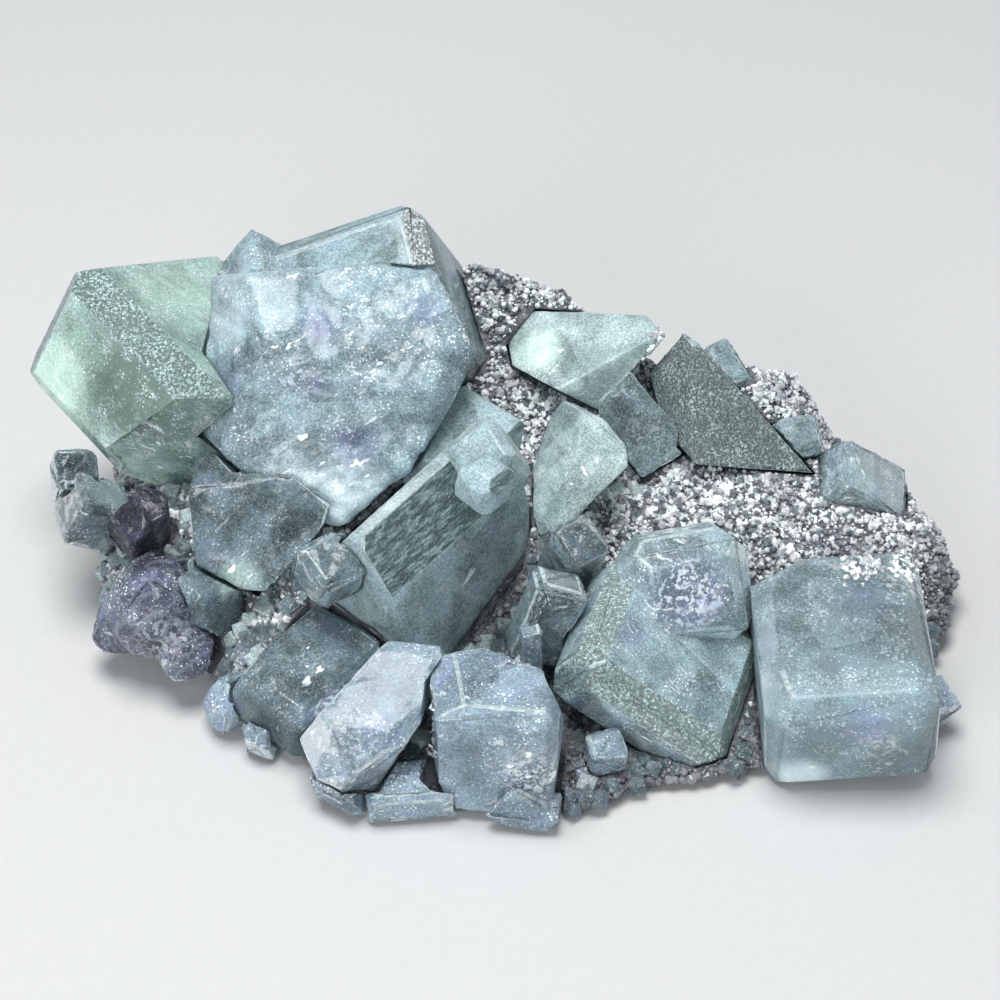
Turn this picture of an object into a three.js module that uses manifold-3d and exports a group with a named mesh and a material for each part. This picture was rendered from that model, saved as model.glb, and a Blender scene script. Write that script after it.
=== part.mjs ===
// Fluorite specimen: pale green cubes of fluorite grown over a rough lump of drusy quartz.
// Millimetres, +Z up, the front of the specimen faces -Y.
// The origin is the middle of the flat patch the lump rests on.
import * as THREE from 'three';
import { ConvexGeometry } from 'three/addons/geometries/ConvexGeometry.js';
import { mergeVertices } from 'three/addons/utils/BufferGeometryUtils.js';
import Module from 'manifold-3d';

const wasm = await Module();
wasm.setup();

const contactGap = 0.3; // clear space left where one crystal grew against another
const lowestCrystal = 0.8; // outer crystals stop just above the table, the lump carries them
const lowestRoot = 5; // the inner crystals are rooted in the lump, this far above the table
const cornerShare = 1.6; // how far a corner is cut back, in edge bevel widths
const faceWeld = 0.001; // corner points closer than this are one point

const lumpMiddle = new THREE.Vector2(-4, 8);
const lumpHeight = 12.5; // top of the lump over its middle
const lumpFrontSlope = 0.45; // steep climb from the front edge
const lumpBackSlope = 0.2; // gentle climb behind the shoulder
const lumpLowest = 4; // the front edge is no thinner than this
const lumpShoulder = 10; // where the slope changes, in Y
const lumpRightFall = 0.09; // fall to the right
const lumpRings = 9;
const lumpSpokes = 52;
// reach of the lump from its middle at every 30 degrees, anticlockwise from the right
const lumpReach = [67, 59, 47, 42, 47, 56, 51, 37, 37, 38, 42, 52];
// drusy mounds and one hollow on the lump: x, y, rise, spread
const lumpMounds = [
  [-5, 44, 15, 8],
  [8, 45, 10, 6],
  [31, 9, 3.5, 9],
  [40, 37, 9, 7],
  [57, 18, 6, 7],
  [-3, -6, -9, 7],
  [4, 3, -10, 7],
];

const fluorite = (colour, roughness) =>
  new THREE.MeshStandardMaterial({ color: colour, roughness, metalness: 0 });
const greenFluorite = fluorite(0xb9d2c4, 0.18);
const bluishFluorite = fluorite(0xbccbd6, 0.22);
const darkFluorite = fluorite(0x71867f, 0.24);
const purpleFluorite = fluorite(0x6d6a90, 0.3);
const drusyQuartz = fluorite(0x9a9aa0, 0.75);

const turnOf = ([x, y, z]) =>
  new THREE.Euler(
    THREE.MathUtils.degToRad(x),
    THREE.MathUtils.degToRad(y),
    THREE.MathUtils.degToRad(z),
  );

// Outward direction from a compass bearing (degrees anticlockwise from +X) and a climb.
function bearing(compass, climb) {
  const around = THREE.MathUtils.degToRad(compass);
  const up = THREE.MathUtils.degToRad(climb);
  return new THREE.Vector3(
    Math.cos(up) * Math.cos(around),
    Math.cos(up) * Math.sin(around),
    Math.sin(up),
  );
}

// Every face of a crystal as an outward direction and its distance from the crystal's middle.
// size: across the three pairs of cube faces; bevel: width lost at each cube edge;
// bands: wider bevels, as an edge direction in the crystal's own axes and a reach;
// breaks: cleavage and contact faces, as compass, climb and reach.
function facesOf({ turn = [0, 0, 0], size, bevel = 0, bands = [], breaks = [] }) {
  const half = size.map((side) => side / 2);
  const cubeFaces = [];
  const reachAlong = (axes) => axes.reduce((sum, a, i) => sum + Math.abs(a) * half[i], 0);
  const addCubeFace = (axes, cut) => {
    const direction = new THREE.Vector3(...axes);
    const length = direction.length();
    const reach = (reachAlong(axes) - cut) / length;
    cubeFaces.push({ direction: direction.divideScalar(length), reach });
  };
  const signs = [-1, 0, 1];
  for (const x of signs) {
    for (const y of signs) {
      for (const z of signs) {
        const turned = Math.abs(x) + Math.abs(y) + Math.abs(z);
        if (turned === 1) addCubeFace([x, y, z], 0);
        if (turned === 2 && bevel) addCubeFace([x, y, z], bevel);
        if (turned === 3 && bevel) addCubeFace([x, y, z], bevel * cornerShare);
      }
    }
  }
  for (const { edge, reach } of bands) {
    cubeFaces.push({ direction: new THREE.Vector3(...edge).normalize(), reach });
  }
  for (const face of cubeFaces) face.direction.applyEuler(turnOf(turn));
  const brokenFaces = breaks.map(([compass, climb, reach]) => ({
    direction: bearing(compass, climb),
    reach,
  }));
  return [...cubeFaces, ...brokenFaces];
}

// The corners where three faces meet and no other face cuts them off.
function cornersOf(faces, grow) {
  const corners = [];
  const reach = faces.map((face) => face.reach + grow);
  const rows = new THREE.Matrix3();
  for (let i = 0; i < faces.length; i++) {
    for (let j = i + 1; j < faces.length; j++) {
      for (let k = j + 1; k < faces.length; k++) {
        const [a, b, c] = [faces[i].direction, faces[j].direction, faces[k].direction];
        rows.set(a.x, a.y, a.z, b.x, b.y, b.z, c.x, c.y, c.z);
        if (Math.abs(rows.determinant()) < 1e-4) continue;
        const corner = new THREE.Vector3(reach[i], reach[j], reach[k]).applyMatrix3(rows.invert());
        const inside = faces.every((face, m) => face.direction.dot(corner) < reach[m] + 1e-5);
        const fresh = corners.every((other) => other.distanceTo(corner) > faceWeld);
        if (inside && fresh) corners.push(corner);
      }
    }
  }
  return corners;
}

function solidOf(geometry) {
  const bare = geometry.clone();
  bare.deleteAttribute('normal');
  bare.deleteAttribute('uv');
  const merged = mergeVertices(bare, faceWeld);
  const index = merged.index.array;
  const triangles = [];
  for (let i = 0; i < index.length; i += 3) {
    const [a, b, c] = [index[i], index[i + 1], index[i + 2]];
    if (a !== b && b !== c && c !== a) triangles.push(a, b, c);
  }
  return new wasm.Manifold(
    new wasm.Mesh({
      numProp: 3,
      vertProperties: merged.attributes.position.array,
      triVerts: new Uint32Array(triangles),
    }),
  );
}

function crystalSolid(habit, grow = 0) {
  const middle = new THREE.Vector3(...habit.at);
  const faces = facesOf(habit);
  const lowest = habit.rooted ? lowestRoot : lowestCrystal;
  faces.push({ direction: new THREE.Vector3(0, 0, -1), reach: middle.z - lowest });
  const corners = cornersOf(faces, grow).map((corner) => corner.add(middle));
  return solidOf(new ConvexGeometry(corners));
}

const joined = (solids) => solids.reduce((whole, solid) => whole.add(solid));

// A crystal cut off by its neighbours keeps its main body, the slivers beyond them go.
function mainBody(solid) {
  const bodies = solid.decompose();
  return bodies.reduce((best, body) => (body.volume() > best.volume() ? body : best));
}

function meshOf(name, solid, material) {
  const { numProp, vertProperties, triVerts, numVert } = solid.getMesh();
  const positions = new Float32Array(numVert * 3);
  for (let i = 0; i < numVert; i++) {
    positions.set(vertProperties.subarray(i * numProp, i * numProp + 3), i * 3);
  }
  const geometry = new THREE.BufferGeometry();
  geometry.setAttribute('position', new THREE.BufferAttribute(positions, 3));
  geometry.setIndex(new THREE.BufferAttribute(triVerts, 1));
  const flat = geometry.toNonIndexed();
  flat.computeVertexNormals();
  const mesh = new THREE.Mesh(flat, material);
  mesh.name = name;
  return mesh;
}

// In the order they keep their shape: each one is cut off where it meets those above it.

const crystals = [
  {
    name: 'large_central_crystal',
    material: bluishFluorite,
    habits: [
      // clean upper part, with one whole cube face and its edge bevel
      { at: [-20.5, 33, 31], turn: [36, -14, 14], size: [30.5, 20, 25], bevel: 2.6, rooted: true },
      // broken lower part, five cleaved facets in front and a ragged outline
      {
        at: [-22, 22, 27],
        rooted: true,
        size: [44, 44, 42],
        breaks: [
          [178, 5, 18],
          [-146, -37, 16],
          [-111, -53, 17],
          [-30, -41, 13.5],
          [-14, -28, 13],
          [21, 17, 19.5],
          [78, 65, 19],
          [99, 56, 17.5],
          [-98, 21, 13.5],
          [-45, 25, 19],
          [-144, 27, 17],
          [-71, 62, 15.5],
          [-85, -13, 24],
          [135, -40, 29],
        ],
      },
      // small parallel growth on its left shoulder
      { at: [-32.5, 31.5, 39.5], turn: [90, 10, -40], size: [8, 8, 11], bevel: 1.2 },
    ],
  },
  {
    name: 'left_green_crystal',
    material: greenFluorite,
    habits: [
      {
        at: [-43, 28.5, 24],
        rooted: true,
        turn: [-7, 28, -41],
        size: [34.5, 30.5, 21.5],
        bevel: 3.7,
        breaks: [[-93, -12, 14]],
      },
    ],
  },
  {
    name: 'tilted_crystal_with_perched_cube',
    material: greenFluorite,
    habits: [
      { at: [20.5, -12, 8.5], turn: [22, 29, -22], size: [24.5, 22, 11.5], bevel: 3.2 },
      { at: [24, -4.5, 15.5], turn: [59, 9, 9], size: [17, 15.5, 11.5], bevel: 3.4 },
    ],
  },
  {
    name: 'right_cube',
    material: greenFluorite,
    habits: [
      {
        at: [44, -14, 10.5],
        turn: [9, -5, 1],
        size: [22, 27, 17],
        bevel: 2.6,
        breaks: [[127, 38, 14.5]],
      },
    ],
  },
  {
    name: 'front_block',
    material: bluishFluorite,
    habits: [
      {
        at: [-0.5, -23.5, 8.5],
        turn: [-5, 1, -7],
        size: [17, 15, 17.5],
        bevel: 1.6,
        breaks: [[17, 18, 8.5]],
      },
    ],
  },
  {
    name: 'front_broken_crystal',
    material: bluishFluorite,
    habits: [
      {
        at: [-17, -20, 8],
        size: [22, 26, 20],
        breaks: [
          [147, 27, 4],
          [-161, -17, 9],
          [-123, -41, 10],
          [-83, -47, 9.5],
          [-20, -26, 6],
          [80, 42, 9.5],
          [-99, 71, 8],
          [-96, 25, 10],
        ],
      },
    ],
  },
  {
    name: 'front_clear_crystal',
    material: darkFluorite,
    habits: [
      {
        at: [-25, -12, 6.5],
        turn: [7, 9, 53],
        size: [18.5, 13, 9.5],
        bevel: 1.6,
        breaks: [[166, 16, 9.5]],
      },
    ],
  },
  {
    name: 'striated_dark_crystal',
    material: darkFluorite,
    habits: [
      {
        at: [-8, 3.8, 14.4],
        turn: [13, 7, 51],
        size: [26.9, 24.3, 24.5],
        bevel: 1.2,
        bands: [{ edge: [0, -1, 1], reach: 5.9 }],
        breaks: [
          [-40, 11, 4.7],
          [146, 36, 9.8],
          [0, 0, 12],
        ],
      },
      // crescent crystal half sunk in the striated band, a pale corner and a block behind it
      { at: [-2, -2.6, 31.7], turn: [10, 10, 50], size: [6.4, 6.4, 6.4], bevel: 1.6 },
      { at: [-1.5, 4.7, 29.3], turn: [30, -20, 30], size: [7.8, 7.8, 7.8], bevel: 1.2 },
      { at: [-5, 14.5, 23], turn: [13, 7, 56], size: [14, 11, 9], bevel: 1 },
    ],
  },
  {
    name: 'pale_middle_crystal',
    material: greenFluorite,
    habits: [
      {
        at: [11, 14, 19],
        rooted: true,
        size: [16, 22, 26],
        breaks: [
          [165, 11, 6.5],
          [178, -5, 6.5],
          [-167, -22, 8],
          [-32, -35, 3],
          [-57, -48, 5],
          [4, 3, 6],
          [28, 28, 7],
          [57, 44, 9.5],
          [-82, 50, 7.5],
          [-160, 23, 7],
        ],
      },
    ],
  },
  {
    name: 'mint_back_crystal',
    material: greenFluorite,
    habits: [
      {
        at: [11, 36, 22],
        rooted: true,
        size: [26, 20, 20],
        breaks: [
          [85, 52, 7],
          [-175, -12, 9],
          [-132, -48, 4.5],
          [-26, -31, 6.5],
          [25, 30, 11.5],
          [-132, 65, 5.5],
          [-78, 16, 8.5],
        ],
      },
    ],
  },
  {
    name: 'dark_gabled_crystal',
    material: darkFluorite,
    habits: [
      {
        at: [32, 30, 16],
        rooted: true,
        size: [26, 30, 28],
        breaks: [
          [146, 29, 12.5],
          [-176, -16, 8.5],
          [-153, -38, 6.5],
          [-98, -53, 6],
          [27, 33, 4],
          [37, 40, 6],
          [-157, 31, 12],
          [-59, 50, 9.5],
          [75, -35, 13],
        ],
      },
    ],
  },
  {
    name: 'grey_back_crystal',
    material: darkFluorite,
    habits: [
      {
        at: [19, 25, 18],
        rooted: true,
        size: [16, 22, 22],
        breaks: [
          [146, 29, 6.5],
          [28, 30, 4.5],
          [9, 11, 5.5],
          [-46, -44, 5.5],
          [-158, -34, 3],
          [-180, -10, 4.5],
          [-79, 43, 7],
        ],
      },
    ],
  },
  {
    name: 'shaded_crystal_under_centre',
    material: darkFluorite,
    habits: [
      {
        at: [-32, 6, 13],
        rooted: true,
        size: [26, 22, 24],
        breaks: [
          [121, 41, 14],
          [-176, -5, 8],
          [-132, -45, 5],
          [-22, -39, 3],
          [-81, 49, 9],
          [-91, -3, 10.5],
        ],
      },
    ],
  },
  {
    name: 'right_ridge_crystal',
    material: greenFluorite,
    habits: [{ at: [50, 20, 11.5], turn: [-77, 5, 36], size: [12, 8.5, 10], bevel: 1.2 }],
  },
  {
    name: 'purple_crystal',
    material: purpleFluorite,
    habits: [
      { at: [-45.5, -2.5, 10.5], turn: [20, 25, 30], size: [13.5, 13, 13], bevel: 4.2 },
      { at: [-51, -2, 6.5], turn: [50, 10, 20], size: [8, 8, 8], bevel: 2.4 },
      { at: [-41, -8, 7], turn: [10, 30, 40], size: [8, 8, 7], bevel: 2 },
    ],
  },
  {
    name: 'small_round_crystal',
    material: darkFluorite,
    habits: [{ at: [-22, -6, 20], turn: [20, 10, 35], size: [7.5, 7.5, 7], bevel: 1.2 }],
  },
  {
    name: 'dark_corner_crystal',
    material: darkFluorite,
    habits: [{ at: [-39, -2.5, 12], turn: [0, 0, 45], size: [8, 8, 9], bevel: 0.9 }],
  },
  {
    name: 'left_edge_crystal_upper',
    material: bluishFluorite,
    habits: [{ at: [-58, 15, 18.5], turn: [30, 20, 10], size: [6, 6, 7], bevel: 0.8 }],
  },
  {
    name: 'left_edge_crystal_middle',
    material: bluishFluorite,
    habits: [{ at: [-55, 10, 16], turn: [-10, 35, 25], size: [8, 8, 8], bevel: 0.9 }],
  },
  {
    name: 'left_edge_crystal_lower',
    material: purpleFluorite,
    habits: [{ at: [-48, 6.5, 18], turn: [20, 10, 40], size: [8, 8, 8], bevel: 0.9 }],
  },
  {
    name: 'middle_small_crystal_upper',
    material: darkFluorite,
    habits: [{ at: [9.5, 0.8, 15.7], turn: [20, 10, 35], size: [6.5, 6.5, 11.5], bevel: 0.8 }],
  },
  {
    name: 'middle_small_crystal_lower',
    material: darkFluorite,
    habits: [{ at: [6, -8.4, 13.7], turn: [-10, 20, 10], size: [7, 7, 12], bevel: 0.9 }],
  },
  {
    name: 'middle_bright_chip',
    material: bluishFluorite,
    habits: [{ at: [4, -13.5, 12.5], turn: [0, 0, 15], size: [2.6, 2.6, 8], bevel: 0.3 }],
  },
  {
    name: 'front_white_chip',
    material: bluishFluorite,
    habits: [{ at: [13.5, -24, 5], turn: [10, 0, 15], size: [5, 4.5, 4.5], bevel: 0.5 }],
  },
  {
    name: 'front_foot_crystal',
    material: darkFluorite,
    habits: [{ at: [-11, -28.5, 3], turn: [5, 0, 5], size: [12, 7, 5], bevel: 0.9 }],
  },
  {
    name: 'front_left_foot_crystal',
    material: bluishFluorite,
    habits: [{ at: [-19.5, -27.5, 3.5], turn: [20, -10, -30], size: [7.5, 7, 5], bevel: 0.8 }],
  },
  {
    name: 'front_tip_crystal',
    material: bluishFluorite,
    habits: [{ at: [3, -30.5, 2.5], turn: [0, 35, -8], size: [8.5, 6, 6], bevel: 0.7 }],
  },
  {
    name: 'left_foot_crystal',
    material: darkFluorite,
    habits: [{ at: [-35, -14, 4], turn: [15, 20, 25], size: [6.8, 6.8, 6.8], bevel: 1.6 }],
  },
  {
    name: 'left_foot_crystal_small',
    material: darkFluorite,
    habits: [{ at: [-30.5, -19, 3], turn: [10, -15, 60], size: [5, 5, 5], bevel: 1 }],
  },
  {
    name: 'right_edge_crystal',
    material: greenFluorite,
    habits: [{ at: [56, -14.5, 4], turn: [10, 20, 30], size: [5.5, 5.5, 6], bevel: 0.7 }],
  },
  {
    name: 'back_blue_crystal',
    material: bluishFluorite,
    habits: [{ at: [30, 36, 18.5], turn: [20, 15, 30], size: [8.5, 8.5, 9], bevel: 1 }],
  },
  {
    name: 'back_tip_crystal',
    material: greenFluorite,
    habits: [{ at: [41, 25, 16.5], turn: [35, 20, 15], size: [6, 6, 7], bevel: 0.8 }],
  },
];

function lumpRim(angle) {
  const step = (angle / (2 * Math.PI)) * lumpReach.length;
  const before = Math.floor(step) % lumpReach.length;
  const after = (before + 1) % lumpReach.length;
  const blend = THREE.MathUtils.smoothstep(step - Math.floor(step), 0, 1);
  return THREE.MathUtils.lerp(lumpReach[before], lumpReach[after], blend);
}

// Uneven rock surface, a few millimetres high, from crossed waves.
function rockWaves(x, y, z) {
  const broad = Math.sin(x * 0.31 + y * 0.17) * Math.sin(y * 0.29 - x * 0.11 + 1.3);
  const close = Math.sin(x * 0.83 + z * 0.6) * Math.sin(y * 0.91 + z * 0.4 + 0.7);
  return 1.1 * broad + 0.7 * close;
}

// Height of the lump's top before the waves.
function lumpTop(x, y) {
  const front = Math.min(y, lumpShoulder) * lumpFrontSlope;
  const back = Math.max(y - lumpShoulder, 0) * lumpBackSlope;
  const mounds = lumpMounds.map(([mx, my, rise, spread]) => {
    const away = Math.hypot(x - mx, y - my) / spread;
    return rise * Math.exp(-away * away);
  });
  const raised = mounds.reduce((sum, rise) => sum + rise, 0);
  const top = lumpHeight + front + back + raised - lumpRightFall * Math.max(x, 0);
  return Math.max(top, lumpLowest);
}

// Profile from the middle of the underside, round the rim, to the middle of the top,
// as shares of the reach and of the height.
function lumpProfile() {
  const foot = [
    [0, 0],
    [0.5, 0],
    [0.88, 0],
    [0.96, 0.2],
    [1, 0.42],
    [0.97, 0.62],
  ];
  const crown = [];
  for (let ring = 1; ring <= lumpRings; ring++) {
    const share = 0.92 * (1 - ring / lumpRings);
    crown.push([share, 1 - 0.22 * share ** 6]);
  }
  return [...foot, ...crown].map(([across, up]) => new THREE.Vector2(across, up));
}

function lumpGeometry() {
  const geometry = new THREE.LatheGeometry(lumpProfile(), lumpSpokes);
  const spots = geometry.getAttribute('position');
  for (let i = 0; i < spots.count; i++) {
    const [across, up, away] = [spots.getX(i), spots.getY(i), -spots.getZ(i)];
    const share = Math.hypot(across, away);
    const angle = (Math.atan2(away, across) + 2 * Math.PI) % (2 * Math.PI);
    const reach = share < 1e-6 ? 0 : lumpRim(angle) * share;
    const x = lumpMiddle.x + reach * Math.cos(angle);
    const y = lumpMiddle.y + reach * Math.sin(angle);
    const top = lumpTop(x, y);
    const wave = up > 0.01 ? rockWaves(x, y, up * top) : 0;
    const swell = share > 0.6 && up > 0.01 ? 1 + wave * 0.012 : 1;
    spots.setXYZ(
      i,
      lumpMiddle.x + reach * swell * Math.cos(angle),
      lumpMiddle.y + reach * swell * Math.sin(angle),
      up > 0.01 ? up * top + wave * Math.min(1, (up * top) / 8) : 0,
    );
  }
  return geometry;
}

const specimen = new THREE.Group();
let taken = null; // room already taken by crystals, with the contact gap round it
for (const { name, material, habits } of crystals) {
  const whole = joined(habits.map((habit) => crystalSolid(habit)));
  const shape = taken ? mainBody(whole.subtract(taken)) : whole;
  specimen.add(meshOf(name, shape, material));
  const room = joined(habits.map((habit) => crystalSolid(habit, contactGap)));
  taken = taken ? taken.add(room) : room;
}
const lump = solidOf(lumpGeometry());
specimen.add(meshOf('drusy_matrix', mainBody(lump.subtract(taken)), drusyQuartz));

export default specimen;
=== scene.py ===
import math
import random

import bmesh
import bpy
import numpy as np
from mathutils import Euler, Matrix, Vector, noise
from mathutils.bvhtree import BVHTree


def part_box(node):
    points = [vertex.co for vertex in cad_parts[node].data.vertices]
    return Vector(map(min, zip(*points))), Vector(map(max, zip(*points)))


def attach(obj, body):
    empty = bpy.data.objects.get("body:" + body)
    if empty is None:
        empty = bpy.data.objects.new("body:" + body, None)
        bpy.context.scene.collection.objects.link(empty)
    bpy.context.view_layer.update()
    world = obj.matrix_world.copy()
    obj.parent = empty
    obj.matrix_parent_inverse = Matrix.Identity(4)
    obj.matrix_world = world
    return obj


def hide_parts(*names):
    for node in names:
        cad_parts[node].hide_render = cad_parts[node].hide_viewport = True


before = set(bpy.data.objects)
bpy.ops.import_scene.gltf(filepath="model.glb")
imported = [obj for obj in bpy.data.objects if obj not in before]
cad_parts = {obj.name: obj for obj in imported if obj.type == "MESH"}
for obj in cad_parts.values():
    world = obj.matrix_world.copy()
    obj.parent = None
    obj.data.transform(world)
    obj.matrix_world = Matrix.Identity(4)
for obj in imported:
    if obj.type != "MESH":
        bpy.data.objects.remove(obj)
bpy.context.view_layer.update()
mm = 0.001
print("frame loaded")


# shader maths: a wire is a socket that can be added, multiplied and so on

class Wire:
    def __init__(self, board, socket):
        self.board = board
        self.socket = socket

    def __add__(self, other):
        return self.board.sum("ADD", self, other)

    def __sub__(self, other):
        return self.board.sum("SUBTRACT", self, other)

    def __rsub__(self, other):
        return self.board.sum("SUBTRACT", other, self)

    def __mul__(self, other):
        return self.board.sum("MULTIPLY", self, other)

    __radd__ = __add__
    __rmul__ = __mul__

    def orMore(self, other):
        return self.board.sum("MAXIMUM", self, other)

    def rise(self, low, high):  # 0 below low, 1 above high, smooth between
        return self.board.node(
            "ShaderNodeMapRange",
            {"interpolation_type": "SMOOTHSTEP"},
            {"Value": self, "From Min": low, "From Max": high},
        )


class Board:
    def __init__(self, name):
        self.material = bpy.data.materials.new(name)
        self.material.use_nodes = True
        self.tree = self.material.node_tree
        self.tree.nodes.clear()

    def node(self, kind, settings=None, inputs=None, output=0):
        made = self.tree.nodes.new(kind)
        for key, value in (settings or {}).items():
            if key == "stops":
                self.setStops(made.color_ramp, value)
            else:
                setattr(made, key, value)
        for key, value in (inputs or {}).items():
            if isinstance(value, Wire):
                self.tree.links.new(value.socket, made.inputs[key])
            else:
                made.inputs[key].default_value = value
        return Wire(self, made.outputs[output])

    def setStops(self, ramp, stops):
        while len(ramp.elements) < len(stops):
            ramp.elements.new(1)
        for element, (place, colour) in zip(ramp.elements, stops):
            element.position = place
            element.color = colour

    def sum(self, operation, a, b):
        return self.node("ShaderNodeMath", {"operation": operation}, {0: a, 1: b})

    def place(self, turn=(0, 0, 0), stretch=(1, 1, 1)):  # object coordinates, turned and stretched
        here = self.node("ShaderNodeTexCoord", output="Object")
        return self.node(
            "ShaderNodeMapping",
            {"vector_type": "TEXTURE"},
            {"Vector": here, "Rotation": [math.radians(a) for a in turn], "Scale": [1 / s for s in stretch]},
        )

    def cloud(self, where, size, detail=4, roughness=0.55, twist=0):  # size of the clouds in mm
        return self.node(
            "ShaderNodeTexNoise",
            {},
            {"Vector": where, "Scale": 1000 / size, "Detail": detail, "Roughness": roughness, "Distortion": twist},
        )

    def cells(self, where, size, output="Distance"):  # distance to, or colour of, the nearest cell
        return self.node("ShaderNodeTexVoronoi", {}, {"Vector": where, "Scale": 1000 / size}, output)

    def planes(self, where, size):  # flat-sided patches of one value each, as of inner cleavage planes
        patch = self.node(
            "ShaderNodeTexVoronoi",
            {"distance": "CHEBYCHEV"},
            {"Vector": where, "Scale": 1000 / size},
            "Color",
        )
        return self.node("ShaderNodeSeparateColor", {}, {"Color": patch}, 0)

    def away(self, where, middle):  # distance from a point given in mm
        return self.node(
            "ShaderNodeVectorMath",
            {"operation": "DISTANCE"},
            {0: where, 1: [c * mm for c in middle]},
            "Value",
        )

    def near(self, where, middle, reach):  # 1 in the middle, 0 at the reach, both in mm
        return self.away(where, middle).rise(reach * mm, reach * 0.3 * mm)

    def rings(self, where, middle, pitch, wander):  # growth rings round a point, pitch in mm
        turns = self.away(where, middle) * (2 * math.pi / (pitch * mm)) + wander * 3
        return self.sum("SINE", turns, 0).rise(0.1, 0.9)

    def blend(self, factor, a, b):
        return self.node("ShaderNodeMix", {"data_type": "RGBA"}, {0: factor, 6: a, 7: b}, 2)

    def bump(self, height, depth, strength=1.0):  # depth in mm
        return self.node("ShaderNodeBump", {}, {"Height": height, "Distance": depth * mm, "Strength": strength})

    def shade(self, **inputs):
        return self.node("ShaderNodeBsdfPrincipled", {}, inputs)

    def finish(self, surface, volume=None):
        out = self.tree.nodes.new("ShaderNodeOutputMaterial")
        self.tree.links.new(surface.socket, out.inputs["Surface"])
        if volume:
            self.tree.links.new(volume.socket, out.inputs["Volume"])
        return self.material


def rgb(red, green, blue):
    return (red, green, blue, 1)


# materials

fluoriteIndex = 1.434
fluoriteLook = {
    "grain": 0.3,  # sizes in mm
    "haze": 5,
    "plane": 8,
    "streak": 1.4,
    "paintedGlintFleck": 0.55,
    "clot": 0.7,
    "terrace": 7,
    "patch": 4,
    "ring": 0.9,
    "glowDepth": 1.8,
    "terraceDepth": 0.08,
    "terraces": 11,
    "stretch": 0.3,  # of the streaks and planes, along their tilt
    "feathered": 0.6,  # how much of every patch is feathered, before the marks
    "threads": 0.35,
    "ringShare": 0.3,
    "clotShare": 0.85,
    "mix": (0.35, 0.25, 0.4),  # of grain, haze and plane in the tone
    "paler": 1.35,
    "deeper": 0.55,
    # painted shade: how much darker the body gets under the darkening marks
    "paintedShadeFactor": 0.35,
    "scatter": 0.4,
    "white": rgb(0.9, 0.97, 1.0),
    "violet": rgb(0.25, 0.29, 0.52),
    # painted light: the colours of the glow and light marks, pale patches where light comes through the crystal
    "paintedGlow": rgb(0.72, 0.98, 0.86),
    "light": rgb(0.76, 0.92, 0.98),
}


def shaded(body, factor):  # a colour made paler or deeper
    return tuple(min(1, c * factor) for c in body[:3]) + (1,)


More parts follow.
